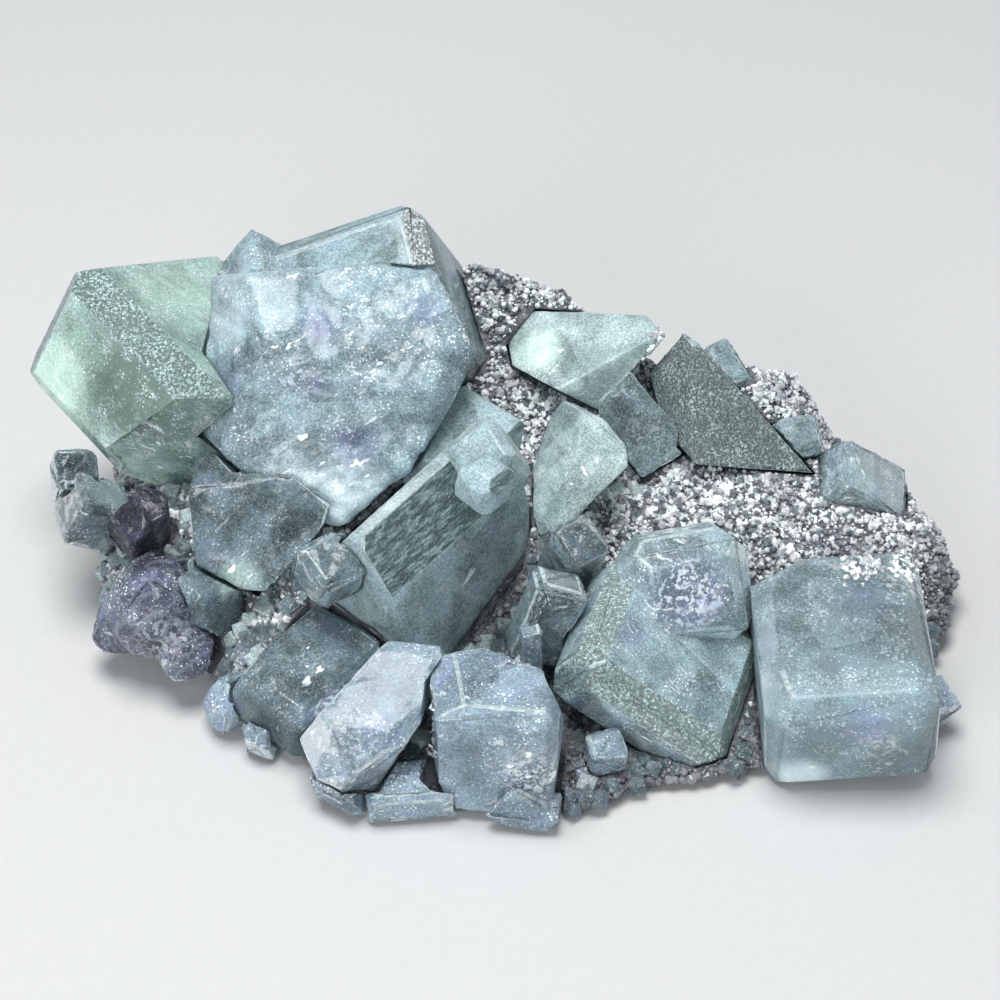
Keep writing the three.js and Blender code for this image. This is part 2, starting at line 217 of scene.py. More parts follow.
def fluorite(name, body, depth, density, milk, streaks, violet=0.3, tilt=(20, 35, 10), marks=(), contrast=0.3):
    look = fluoriteLook
    board = Board(name)
    where = board.place()
    along = board.place(tilt, (look["stretch"], 1, 1))
    haze = board.cloud(where, look["haze"], 3, 0.6).rise(0.3, 0.7)
    grain = board.cloud(where, look["grain"], 1, 0.6).rise(0.4, 0.6)
    plane = board.planes(along, look["plane"])
    veins = board.cloud(along, look["streak"], 2, 0.65)
    patch = board.cloud(where, look["patch"], 1).rise(0.46, 0.58)

    cover = dict.fromkeys(("feather", "violet", "paintedGlow", "light", "paintedShade", "cloud", "rings", "grains"), 0.0)
    for kind, middle, reach, strength in marks:
        here = board.near(where, middle, reach) * strength
        if kind == "rings":
            here = board.rings(where, middle, look["ring"], haze) * here
        cover[kind] = board.sum("MAXIMUM", cover[kind], here)

    feather = (patch * look["feathered"]).orMore(cover["feather"] * 1.3)
    streak = veins.rise(0.6, 0.66) * feather
    curve = veins - 0.5
    thread = (curve * curve).rise(0.0011, 0.0001) * feather * look["threads"]
    # painted glints: the flecks are small white glints of light; the streaks and threads are the crystal's own feathers
    paintedGlintFleck = (board.cells(where, look["paintedGlintFleck"]) - patch * 0.1).rise(0.22, 0.11) * (haze * 0.6 + 0.4)
    white = streak.orMore(thread).orMore(paintedGlintFleck) * streaks
    if cover["rings"]:
        white = white.orMore(cover["rings"] * look["ringShare"])
    if cover["grains"]:
        clots = board.cloud(where, look["clot"], 1, 0.6).rise(0.5, 0.58)
        white = white.orMore(clots * cover["grains"] * look["clotShare"])

    zone = (haze.orMore(0.5).rise(0.72, 1.0) * violet).orMore((haze * 0.5 + 0.5) * cover["violet"])
    grainShare, hazeShare, planeShare = look["mix"]
    tone = grain * grainShare + haze * hazeShare + plane * planeShare
    tone = board.blend(tone, shaded(body, look["deeper"]), shaded(body, look["paler"]))
    tone = board.blend(zone, tone, look["violet"])
    # painted light: the glow and light marks pale the tone
    tone = board.blend(cover["paintedGlow"], tone, look["paintedGlow"])
    tone = board.blend(cover["light"], tone, look["light"])
    # painted shade: the darkening marks deepen the tone
    tone = board.blend(cover["paintedShade"], tone, shaded(body, look["paintedShadeFactor"]))

    terrace = board.sum("FLOOR", board.cloud(where, look["terrace"], 1) * look["terraces"], 0)
    skin = board.bump(terrace, look["terraceDepth"], 0.4)
    clear = board.shade(
        **{
            "Base Color": rgb(0.95, 1.0, 1.0),
            "Roughness": 0.1,
            "IOR": fluoriteIndex,
            "Transmission Weight": 1.0,
            "Normal": skin,
        }
    )
    milky = board.shade(
        **{
            "Base Color": board.blend(white, tone, look["white"]),
            "Roughness": grain * 0.15 + 0.3,
            "IOR": fluoriteIndex,
            "Subsurface Weight": look["scatter"],
            "Subsurface Radius": (0.85, 1.0, 1.0),
            "Subsurface Scale": look["glowDepth"] * mm,
            "Normal": skin,
        }
    )
    cloudy = grain * 0.12 + plane * 0.16 + haze * contrast + (milk - 0.16 - contrast * 0.55)
    # the painted light marks (glow and light) and the painted shade marks also raise the cloudy share
    bright = board.sum("MAXIMUM", cover["paintedGlow"], cover["light"])
    cloudy = cloudy + bright * 0.4 + cover["paintedShade"] * 0.3 + cover["cloud"]
    surface = board.node("ShaderNodeMixShader", {}, {0: cloudy.orMore(white), 1: clear, 2: milky})
    inside = board.node("ShaderNodeVolumeAbsorption", {}, {"Color": depth, "Density": density})
    return board.finish(surface, inside)


frostLook = {
    "grain": 0.4,  # sizes in mm
    "drift": 3,
    "point": 0.62,
    "line": 0.7,
    "lineStretch": 0.3,
    "paler": 1.6,
    "deeper": 0.6,
    "bumpDepth": 0.4,
    "white": rgb(0.95, 1.0, 1.0),
    "clear": rgb(0.9, 0.97, 0.97),
}


def frostedFluorite(name, body, depth, density, stripes=None, spread=0.4, paintedGlitter=0.5):
    look = frostLook
    board = Board(name)
    where = board.place()
    grain = board.cloud(where, look["grain"], 2, 0.7)
    # painted light: lit makes the frost paler where its relief stands up
    if stripes:  # growth lines along the band, as a turn of the coordinates
        lined = board.place(stripes, (look["lineStretch"], 1, 1))
        lines = board.cloud(lined, look["line"], 3, 0.6)
        height = lines * 0.8 + grain * 0.7
        lit = lines.rise(0.38, 0.66) * 0.7 + grain.rise(0.4, 0.7) * 0.3
    else:
        drift = board.cloud(where, look["drift"], 2).rise(0.4, 0.66)
        height = grain * 1.2
        lit = grain.rise(0.44, 0.62) * (drift * (1 - spread) + spread)
    skin = board.bump(height, look["bumpDepth"], 0.9)
    # painted glints: white points where light catches the frost
    point = board.cells(where, look["point"]).rise(0.26, 0.14) * paintedGlitter
    tone = board.blend(lit, shaded(body, look["deeper"]), shaded(body, look["paler"]))
    milky = board.shade(
        **{
            "Base Color": board.blend(point, tone, look["white"]),
            "Roughness": 0.36,
            "IOR": fluoriteIndex,
            "Normal": skin,
        }
    )
    clear = board.shade(
        **{
            "Base Color": look["clear"],
            "Roughness": 0.32,
            "IOR": fluoriteIndex,
            "Transmission Weight": 1.0,
            "Normal": skin,
        }
    )
    surface = board.node("ShaderNodeMixShader", {}, {0: lit * 0.35 + point * 0.3 + 0.5, 1: clear, 2: milky})
    inside = board.node("ShaderNodeVolumeAbsorption", {}, {"Color": depth, "Density": density})
    return board.finish(surface, inside)


# worn edges with painted rim highlight: pale chipped edges, partly the wear of the edges and partly the light their
# rims catch, painted in
def wornEdgeAndPaintedRim():
    board = Board("wornEdgeAndPaintedRim")
    chips = board.cloud(board.place(), 0.7, 2, 0.7)
    return board.finish(
        board.shade(
            **{
                "Base Color": board.blend(chips.rise(0.4, 0.65), rgb(0.46, 0.61, 0.64), rgb(0.86, 0.96, 0.98)),
                "Roughness": 0.3,
                "IOR": fluoriteIndex,
                "Transmission Weight": 0.4,
                "Normal": board.bump(chips, 0.15, 0.8),
            }
        )
    )


def veilWhite():
    board = Board("veilWhite")
    drift = board.cloud(board.place(), 1.3, 2, 0.75, 1.2)
    thread = board.cloud(board.place((30, 20, 50), (0.3, 1, 1)), 0.9, 1, 0.7)
    cover = (drift.rise(0.44, 0.62) * 0.7 + thread.rise(0.5, 0.64) * 0.5) * 0.85
    return board.finish(board.shade(**{"Base Color": rgb(0.88, 0.96, 1.0), "Roughness": 0.4, "Alpha": cover}))


def violetZone():
    board = Board("violetZone")
    drift = board.cloud(board.place(), 1.5, 2, 0.65, 0.8)
    colour = board.blend(drift.rise(0.38, 0.66), rgb(0.22, 0.25, 0.5), rgb(0.72, 0.8, 0.95))
    cover = drift.rise(0.4, 0.75) * 0.6
    return board.finish(board.shade(**{"Base Color": colour, "Roughness": 0.5, "Alpha": cover}))


quartzLook = {
    "index": 1.544,
    "grain": 0.8,  # sizes in mm
    "patch": 7,
    "dark": rgb(0.14, 0.17, 0.2),
    "bright": rgb(0.96, 1.0, 1.0),
    "rosy": rgb(0.78, 0.7, 0.75),
    "smoky": rgb(0.2, 0.21, 0.25),
    # painted shade: the foot colour darkens the points towards the floor
    "foot": rgb(0.1, 0.1, 0.115),
    "footTop": 12,  # the points darken below this height and are darkest at the next
    "footLow": 4,
}


def quartzPoints():
    look = quartzLook
    board = Board("quartzPoints")
    where = board.place()
    pick = board.cells(where, look["grain"], "Color")
    one = board.node("ShaderNodeSeparateColor", {}, {"Color": pick}, 0)
    two = board.node("ShaderNodeSeparateColor", {}, {"Color": pick}, 1)
    patch = board.cloud(where, look["patch"], 1).rise(0.42, 0.62)
    climb = board.node("ShaderNodeSeparateXYZ", {}, {0: where}, 2)
    colour = board.blend(one.rise(0.1, 0.75), look["dark"], look["bright"])
    colour = board.blend(two.rise(0.8, 0.98) * 0.5, colour, look["rosy"])
    colour = board.blend(patch * 0.3, colour, look["smoky"])
    # painted shade: the points darker towards the floor
    colour = board.blend(climb.rise(look["footTop"] * mm, look["footLow"] * mm) * 0.8, colour, look["foot"])
    return board.finish(
        board.shade(**{"Base Color": colour, "Roughness": two * 0.25 + 0.06, "IOR": look["index"]})
    )


def darkRock():
    board = Board("darkRock")
    where = board.place()
    coarse = board.cloud(where, 3, 3, 0.7)
    fine = board.cloud(where, 0.5, 1, 0.7)
    colour = board.blend(coarse.rise(0.35, 0.68), rgb(0.075, 0.08, 0.09), rgb(0.25, 0.26, 0.285))
    speck = board.cells(where, 0.9).rise(0.28, 0.12) * fine.rise(0.45, 0.58)
    colour = board.blend(speck, colour, rgb(0.6, 0.62, 0.66))
    skin = board.bump(coarse + fine * 0.5, 0.7, 0.9)
    return board.finish(board.shade(**{"Base Color": colour, "Roughness": fine * 0.4 + 0.4, "Normal": skin}))


def paleFloor():
    board = Board("paleFloor")
    colour = board.blend(board.cloud(board.place(), 1.5, 1), rgb(0.6, 0.6, 0.6), rgb(0.64, 0.64, 0.64))
    return board.finish(board.shade(**{"Base Color": colour, "Roughness": 0.65}))


greenDepth = rgb(0.4, 0.74, 0.68)
blueDepth = rgb(0.44, 0.68, 0.76)
darkDepth = rgb(0.36, 0.52, 0.54)
purpleDepth = rgb(0.4, 0.44, 0.66)

# body is the cloudy colour, depth and density the absorption, milk the cloudy share, tilt the streaks' turn,
# and a mark is its kind, middle in mm, reach in mm and strength; glow and light marks are painted light and darkening
# marks painted shade
fluorites = {
    "mint": {
        "body": rgb(0.54, 0.77, 0.68), "depth": greenDepth, "density": 55, "milk": 0.58, "streaks": 1.1,
        "violet": 0, "tilt": (0, 25, -21), "contrast": 0.2,
        "marks": [
            ("paintedGlow", (-61, 25, 26), 10, 0.85),
            ("paintedGlow", (-42, 32, 36), 13, 0.35),
            ("paintedGlow", (-50, 14, 20), 9, 0.45),
            ("paintedShade", (-48, 17, 32), 14, 1),
            ("feather", (-52, 14, 18), 11, 1.2),
            ("feather", (-46, 12, 22), 8, 1.2),
        ],
    },
    "green": {
        "body": rgb(0.38, 0.525, 0.565), "depth": greenDepth, "density": 60, "milk": 0.54, "streaks": 0.8,
        "tilt": (0, -35, 15),
    },
    "bluish": {
        "body": rgb(0.37, 0.49, 0.585), "depth": blueDepth, "density": 60, "milk": 0.62, "streaks": 1.3,
        "violet": 0.5, "tilt": (0, -25, 32),
        "marks": [
            ("rings", (-18.5, -26, 11), 7, 0.8),
            ("grains", (-18, -28, 12), 6, 0.7),
            ("feather", (4, -31.6, 9.7), 6, 1),
            ("grains", (4, -31.6, 9), 6, 0.9),
            ("paintedShade", (-3, -31, 9), 5, 0.5),
        ],
    },
    "central": {
        "body": rgb(0.47, 0.635, 0.7), "depth": blueDepth, "density": 45, "milk": 0.62, "streaks": 1.3,
        "violet": 0.1, "tilt": (0, -25, 21),
        "marks": [
            ("feather", (-26.8, 7.8, 26), 8, 1),
            ("feather", (-28, 13.7, 41), 5, 0.8),
            ("feather", (-10, 16, 30), 9, 0.7),
            ("feather", (-19, 8, 22), 9, 0.9),
            ("violet", (-23.5, 17, 42), 4, 0.7),
            ("violet", (-24.2, 11, 36.7), 2.6, 0.8),
            ("violet", (-18.8, 8, 29), 5, 0.8),
            ("violet", (-9.7, 21, 42), 3.5, 0.6),
            ("violet", (-36.3, 15.5, 34), 4.5, 0.7),
            ("paintedShade", (-19.9, 20, 43.7), 2.0, 0.9),
            ("light", (-24, 7, 20), 12, 0.5),
            ("light", (-36, 22, 42), 8, 0.4),
            ("grains", (-21, 8, 24), 7, 0.5),
            ("paintedShade", (-36, 17, 24), 6, 0.35),
            ("paintedShade", (-19, 25, 46), 8, 0.3),
            ("paintedShade", (-14, 22, 40), 6, 0.3),
        ],
    },
    "pale": {
        "body": rgb(0.59, 0.8, 0.8), "depth": greenDepth, "density": 40, "milk": 0.62, "streaks": 0.9,
        "violet": 0.1, "tilt": (10, 70, 25),
        "marks": [
            ("paintedShade", (15, 29, 26.5), 6, 0.45),
            ("paintedGlow", (5.6, 34, 25.7), 5, 0.7),
            ("feather", (6, 32, 25), 6, 1),
            ("feather", (10, 9, 24), 6, 1),
        ],
    },
    "dark": {
        "body": rgb(0.225, 0.31, 0.345), "depth": darkDepth, "density": 90, "milk": 0.5, "streaks": 0.8,
        "tilt": (0, -30, 35), "contrast": 0.35,
        "marks": [
            ("feather", (-34, -3, 17), 5, 1),
            ("feather", (-25, -14, 11), 6, 1),
            ("paintedGlow", (-34, -4, 16), 4, 0.5),
            ("paintedShade", (-56, 5, 18), 10, 0.5),
        ],
    },
    "slate": {
        "body": rgb(0.52, 0.69, 0.72), "depth": darkDepth, "density": 60, "milk": 0.64, "streaks": 0.8,
        "tilt": (0, -20, 51),
        "marks": [
            ("paintedShade", (-9, -5, 14), 4, 0.5),
            ("feather", (-4, 1, 11), 5, 1),
            ("paintedGlow", (2.5, 6, 7), 3, 0.3),
        ],
    },
    "cube": {
        "body": rgb(0.28, 0.39, 0.43), "depth": greenDepth, "density": 150, "milk": 0.66, "streaks": 0.7,
        "violet": 0.1, "tilt": (0, 30, -20),
        "marks": [
            ("violet", (46.6, -11, 18), 5, 0.7),
            ("violet", (45.3, -27, 13), 4.5, 0.6),
            ("feather", (52, -8, 18), 5, 0.9),
            ("feather", (47, -28, 11), 4, 0.8),
            ("paintedShade", (41, -21, 17), 3.5, 0.6),
            ("paintedShade", (47, -14, 20), 14, 0.5),
            ("paintedShade", (52, -28, 6), 9, 0.55),
            ("paintedShade", (40, -30, 11), 7, 0.4),
            ("cloud", (47, -31, 6), 22, 0.7),
            ("grains", (52, -8, 18), 5, 0.6),
            ("grains", (47, -28, 10), 4, 0.5),
            ("light", (38, -27, 3), 5, 0.8),
            ("feather", (38, -27, 4), 4, 1),
        ],
    },
    "perched": {
        "body": rgb(0.43, 0.59, 0.64), "depth": greenDepth, "density": 60, "milk": 0.55, "streaks": 1.25,
        "violet": 0.1, "tilt": (0, 25, -30),
        "marks": [
            ("violet", (24, -8.6, 18.5), 7.5, 0.75),
            ("grains", (24, -9, 18.5), 7.5, 1),
            ("violet", (16.5, -14, 17), 3.5, 0.6),
            ("feather", (12.6, -20.5, 14), 4, 1),
            ("paintedShade", (10, -24, 11), 4, 0.6),
            ("feather", (19, -23, 6), 5, 0.8),
            ("grains", (11, -18, 15), 4, 0.8),
        ],
    },
    "purple": {
        "body": rgb(0.135, 0.15, 0.22), "depth": purpleDepth, "density": 90, "milk": 0.64, "streaks": 1.2,
        "violet": 0.5, "contrast": 0.25,
        "marks": [
            ("rings", (-44, -4, 9), 12, 1),
            ("grains", (-44, -7, 10), 6, 0.7),
            ("paintedShade", (-48, 1, 15), 6, 0.9),
            ("light", (-46, -14, 6), 6, 0.4),
        ],
    },
    # painted shade: a near-black fluorite for the crystal in the shaded hollow at the left corner
    "hollow": {
        "body": rgb(0.035, 0.035, 0.06), "depth": darkDepth, "density": 60, "milk": 0.8, "streaks": 0.2,
        "violet": 0.1,
    },
}
frosts = {
    "olive": {"name": "oliveFluorite", "body": rgb(0.33, 0.42, 0.41), "depth": darkDepth, "density": 34},
    # painted glints: a pale frost crowded with white points, for a strip that sparkles
    "paintedSparkle": {
        "name": "paintedSparkleFluorite", "body": rgb(0.62, 0.74, 0.76), "depth": greenDepth, "density": 20,
        "spread": 1.0, "paintedGlitter": 1.0,
    },
    "frost": {
        "name": "frostedFluorite", "body": rgb(0.38, 0.52, 0.51), "depth": greenDepth, "density": 24, "spread": 0.6,
        "paintedGlitter": 0.9,
    },
    "darkFrost": {
        "name": "striatedFluorite", "body": rgb(0.24, 0.34, 0.35), "depth": darkDepth, "density": 40,
        "stripes": (0, 0, 51), "paintedGlitter": 0.25,
    },
}
materials = {key: fluorite(key + "Fluorite", **kind) for key, kind in fluorites.items()}
materials.update({key: frostedFluorite(**kind) for key, kind in frosts.items()})
materials.update(
    edge=wornEdgeAndPaintedRim(),
    veil=veilWhite(),
    violet=violetZone(),
    points=quartzPoints(),
    rock=darkRock(),
    floor=paleFloor(),
)
print("materials made")


# mesh helpers

meshLook = {
    "weld": 0.01,  # sizes in mm, turns in degrees
    "flat": 0.6,
    "bluntest": 12,  # edges flatter than this aren't softened
    "wornAndPaintedRimSize": 3,
    "outside": 0.05,
    "merge": 0.03,
    "smallest": 0.02,
}


def solidCopy(node):  # a node's mesh with its triangles welded into flat faces
    work = bmesh.new()
    work.from_mesh(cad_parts[node].data)
    bmesh.ops.remove_doubles(work, verts=work.verts, dist=meshLook["weld"] * mm)
    bmesh.ops.dissolve_limit(work, angle_limit=math.radians(meshLook["flat"]), verts=work.verts, edges=work.edges)
    bmesh.ops.recalc_face_normals(work, faces=work.faces)
    return work


def cubeAxes(work):  # the three face directions of a cube, from its largest faces
    faces = sorted(work.faces, key=lambda face: -face.calc_area())
    first = faces[0].normal.copy()
    square = [face.normal.copy() for face in faces if abs(face.normal.dot(first)) < 0.03]
    if not square:
        return [first]
    return [first, square[0], first.cross(square[0])]


def show(name, work, slots, nodes=(), smoothAngle=32):
    shape = bpy.data.meshes.new(name)
    bmesh.ops.recalc_face_normals(work, faces=work.faces)
    work.to_mesh(shape)
    work.free()
    shape.validate()
    for key in slots:
        shape.materials.append(materials[key])
    shape.polygons.foreach_set("use_smooth", [True] * len(shape.polygons))
    shape.set_sharp_from_angle(angle=math.radians(smoothAngle))
    piece = bpy.data.objects.new(name, shape)
    bpy.context.scene.collection.objects.link(piece)
    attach(piece, "root")
    if nodes:
        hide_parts(*nodes)
    return piece


def refine(work, faces, length):  # cut these faces until no edge is longer than length, in mm
    mark = 10  # added to a face's slot while it is being cut, and above every slot in use
    for face in faces:
        face.material_index += mark
    for _ in range(9):
        bmesh.ops.triangulate(work, faces=[face for face in work.faces if face.material_index >= mark])
        mine = [face for face in work.faces if face.material_index >= mark]
        edges = list(dict.fromkeys(edge for face in mine for edge in face.edges if edge.calc_length() > length * mm))
        if not edges:
            break
        bmesh.ops.subdivide_edges(work, edges=edges, cuts=1)
    fine = [face for face in work.faces if face.material_index >= mark]
    for face in fine:
        face.material_index -= mark
    return fine


def ridge(point, size, turns=3):  # sharp ridged noise, 0 to 1, at a point in metres
    total, weight, spot = 0.0, 0.5, point / (size * mm)
    for _ in range(turns):
        total += weight * (1 - abs(noise.noise(spot)) * 2)
        spot = spot * 2.1 + Vector((3.1, 1.7, 5.3))
        weight *= 0.5
    return max(0.0, min(1.0, total))


def sink(work, verts, depthAt):  # push points into the body by depthAt(point), in mm
    work.normal_update()
    moves = [(vert, vert.normal * (-mm * depthAt(vert.co))) for vert in verts]
    for vert, move in moves:
        vert.co += move


def softenEdges(work, width, segments=2, shortest=1.6, wornAndPaintedRimSlot=None, wornAndPaintedRimShare=0.3, only=None):  # sizes in mm
    edges = [
        edge
        for edge in work.edges
        if len(edge.link_faces) == 2
        and edge.calc_length() > shortest * mm
        and edge.calc_face_angle(0) > math.radians(meshLook["bluntest"])
        and edge.is_convex
        and (only is None or only(edge))
    ]
    skin = BVHTree.FromBMesh(work)
    made = bmesh.ops.bevel(
        work,
        geom=edges,
        offset=width * mm,
        offset_type="OFFSET",
        segments=segments,
        profile=0.5,
        affect="EDGES",
        clamp_overlap=False,
        material=-1,
    )
    # a share of the bevel faces takes the worn edge colour with its painted rim highlight
    if wornAndPaintedRimSlot is not None:
        for face in made["faces"]:
            spot = face.calc_center_median() / (meshLook["wornAndPaintedRimSize"] * mm)
            if noise.noise(spot) * 0.5 + 0.5 < wornAndPaintedRimShare:
                face.material_index = wornAndPaintedRimSlot
    for vert in work.verts:  # a bevel on a very sharp corner can shoot out of the crystal
        near, normal = skin.find_nearest(vert.co)[:2]
        if (vert.co - near).length > meshLook["outside"] * mm and (vert.co - near).dot(normal) > 0:
            vert.co = near
    bmesh.ops.remove_doubles(work, verts=work.verts, dist=meshLook["merge"] * mm)
    bmesh.ops.dissolve_degenerate(work, dist=meshLook["smallest"] * mm, edges=work.edges)


def smoothOut(work, verts, rounds):
    for _ in range(rounds):
        bmesh.ops.smooth_vert(work, verts=verts, factor=0.5, use_axis_x=True, use_axis_y=True, use_axis_z=True)


def chipCorners(work, count, depth, seed):  # slice flat chips off the points that stick out most, in mm
    dice = random.Random(seed)
    for _ in range(count):
        way = Vector([dice.gauss(0, 1) for _ in range(3)]).normalized()
        reach = max(vert.co.dot(way) for vert in work.verts)
        place = way * (reach - depth * dice.uniform(0.4, 1) * mm)
        cut = bmesh.ops.bisect_plane(
            work,
            geom=work.verts[:] + work.edges[:] + work.faces[:],
            dist=0.001 * mm,
            plane_co=place,
            plane_no=way,
            clear_outer=True,
        )
        rim = [part for part in cut["geom_cut"] if isinstance(part, bmesh.types.BMEdge)]
        bmesh.ops.holes_fill(work, edges=rim)
    bmesh.ops.recalc_face_normals(work, faces=work.faces)


# crystals: slots are 0 body, 1 band or broken face, 2 worn edge with painted rim highlight, 3 chipped body or strip
# with painted glints

crystalLook = {
    "wornAndPaintedRimShare": 0.36,
    "bandShare": 0.985,  # a face turned further than this from every cube face is a band
    "bandArea": 14,  # in square mm, smaller bands stay glossy
    "grain": 0.95,  # sizes in mm
    "cutDepth": 1.3,
    "brokenDepth": 1.5,
    "brokenSize": 5,
    "brokenFineDepth": 0.5,
    "brokenFineSize": 1.8,
    "fineShare": 0.4,
}


def markBands(work):
    axes = cubeAxes(work)
    for face in work.faces:
        flat = max(abs(face.normal.dot(axis)) for axis in axes)
        large = face.calc_area() > crystalLook["bandArea"] * mm * mm
        face.material_index = 1 if flat < crystalLook["bandShare"] and large else 0


def crystal(name, node, body, band, width=0.25, rough=0.12, size=4, cuts=0, broken=None, glossy=None):
    look = crystalLook
    work = solidCopy(node)
    markBands(work)
    chipCorners(work, cuts, look["cutDepth"], len(name))
    for face in work.faces:
        if glossy and glossy(face):
            face.material_index = 0
        if broken and face.material_index == 1 and broken(face):
            face.material_index = 3
    softenEdges(work, width, wornAndPaintedRimSlot=2, wornAndPaintedRimShare=look["wornAndPaintedRimShare"])
    refine(work, work.faces, look["grain"])
    chipped = {vert for vert in work.verts if all(face.material_index == 3 for face in vert.link_faces)}
    smooth = [vert for vert in work.verts if vert not in chipped]

    def brokenDepth(point):
        coarse = look["brokenDepth"] * ridge(point, look["brokenSize"]) ** 2
        return coarse + look["brokenFineDepth"] * ridge(point, look["brokenFineSize"], 2)

    def smoothDepth(point):
        return rough * (ridge(point, size) ** 2 + look["fineShare"] * ridge(point, size / 3, 2))

    sink(work, chipped, brokenDepth)
    sink(work, smooth, smoothDepth)
    return show(name, work, [body, band, "edge", body], [node])


roundedLook = {"cutDepth": 1.82, "wornAndPaintedRimShare": 0.45, "fineSize": 1.6, "smoothAngle": 26}


def stepped(chip, count=4):  # the same value cut into flat steps
    return math.floor(chip * count) / count


def roundedCrystal(name, node, body, width, rough, size, rounds=0, cuts=0):  # worn all over
    look = roundedLook
    work = solidCopy(node)
    chipCorners(work, cuts, look["cutDepth"], len(name))
    softenEdges(work, width, wornAndPaintedRimSlot=1, wornAndPaintedRimShare=look["wornAndPaintedRimShare"])
    refine(work, work.faces, crystalLook["grain"])
    smoothOut(work, work.verts, rounds)

    def depthAt(point):
        chip = ridge(point, size) ** 2
        return rough * (stepped(chip) * 0.6 + chip * 0.6 + 0.25 * ridge(point, look["fineSize"], 2))

    sink(work, work.verts, depthAt)
    return show(name, work, [body, body if rounds else "edge"], [node], look["smoothAngle"])


def gather(whole, work):  # add one bmesh to another
    copy = bpy.data.meshes.new("part")
    work.to_mesh(copy)
    work.free()
    whole.from_mesh(copy)
    bpy.data.meshes.remove(copy)


smallLook = {
    "cuts": 5,
    "cutDepth": 0.7,  # sizes in mm
    "edge": 0.3,
    "shortest": 0.8,
    "grain": 0.6,
    "rough": 0.28,
    "size": 2.2,
    "fineSize": 0.9,
    "fineShare": 0.4,
}


def smallCrystals(name, nodes, body, band):
    look = smallLook
    whole = bmesh.new()

    def depthAt(point):
        return look["rough"] * (ridge(point, look["size"]) ** 2 + look["fineShare"] * ridge(point, look["fineSize"], 2))

    for node in nodes:
        work = solidCopy(node)
        chipCorners(work, look["cuts"], look["cutDepth"], len(node))
        softenEdges(work, look["edge"], shortest=look["shortest"], wornAndPaintedRimSlot=2, wornAndPaintedRimShare=crystalLook["wornAndPaintedRimShare"])
        refine(work, work.faces, look["grain"])
        sink(work, work.verts, depthAt)
        gather(whole, work)
    return show(name, whole, [body, band, "edge"], nodes)


central = {
    "cleanTurn": (36, -14, 14),  # the upper block's, in degrees
    "cleanArea": 8,  # in square mm, smaller faces stay clean
    "knob": (-0.026, 0.042),  # the small growth at the top left is left of this x and above this z
    "knobShare": 0.12,
    "knobRounds": 6,
    "brokenEdge": 1.6,  # sizes in mm
    "cleanEdge": 0.3,
    "grain": 0.8,
    "chipSize": 10,
    "chipDepth": 1.3,
    "fineSize": 2.6,
    "fineDepth": 0.2,
}


def turnMatrix(turn):
    return Euler([math.radians(a) for a in turn], "ZYX").to_matrix()


def isClean(face):  # a cube face or bevel of the unbroken upper block
    local = turnMatrix(central["cleanTurn"]).transposed() @ face.normal
    size = sorted(abs(c) for c in local)
    return size[2] > 0.999 or (abs(size[1] - size[2]) < 0.01 and size[0] < 0.02)


def centralCrystal():
    work = solidCopy("large_central_crystal")
    axes = turnMatrix(central["cleanTurn"]).transposed()
    for face in work.faces:
        clean = isClean(face) or face.calc_area() < central["cleanArea"] * mm * mm
        bevel = clean and max(abs(c) for c in axes @ face.normal) < 0.9
        # the bevel strip facing right takes the pale frost with painted glints
        face.material_index = 3 if bevel and face.normal.x > 0.2 else (0 if clean else 1)

    def onKnob(point):
        left, bottom = central["knob"]
        return point.x < left and point.z > bottom

    def brokenEdge(edge):
        return all(f.material_index == 1 for f in edge.link_faces) and not any(onKnob(v.co) for v in edge.verts)

    def cleanEdge(edge):
        return any(f.material_index != 1 for f in edge.link_faces)

    softenEdges(work, central["brokenEdge"], segments=3, only=brokenEdge)
    softenEdges(work, central["cleanEdge"], wornAndPaintedRimSlot=2, wornAndPaintedRimShare=0.45, only=cleanEdge)
    rough = refine(work, [face for face in work.faces if face.material_index == 1], central["grain"])
    verts = {vert for face in rough for vert in face.verts if all(f.material_index == 1 for f in vert.link_faces)}
    smoothOut(work, [vert for vert in verts if onKnob(vert.co)], central["knobRounds"])

    def depthAt(point):
        chip = ridge(point, central["chipSize"]) ** 2
        step = stepped(chip) * 0.5 + chip * 0.5
        share = central["knobShare"] if onKnob(point) else 1
        return share * (central["chipDepth"] * step + central["fineDepth"] * ridge(point, central["fineSize"], 2))

    sink(work, verts, depthAt)
    return show(
        "largeCentralCrystal",
        work,
        ["green", "central", "edge", "paintedSparkle"],
        ["large_central_crystal"],
        24,
    )


striated = {
    "turn": (13, 7, 51),  # in degrees
    "edge": 0.2,  # sizes in mm
    "bandArea": 10,
    "grain": 0.3,
    "pitch": 0.55,
    "depth": 0.09,
    "fineDepth": 0.05,
    "fade": 3,  # the grooves start over this height
    "waves": ((3.2, 0.9), (1.1, 0.25)),  # size, and share of the pitch
}


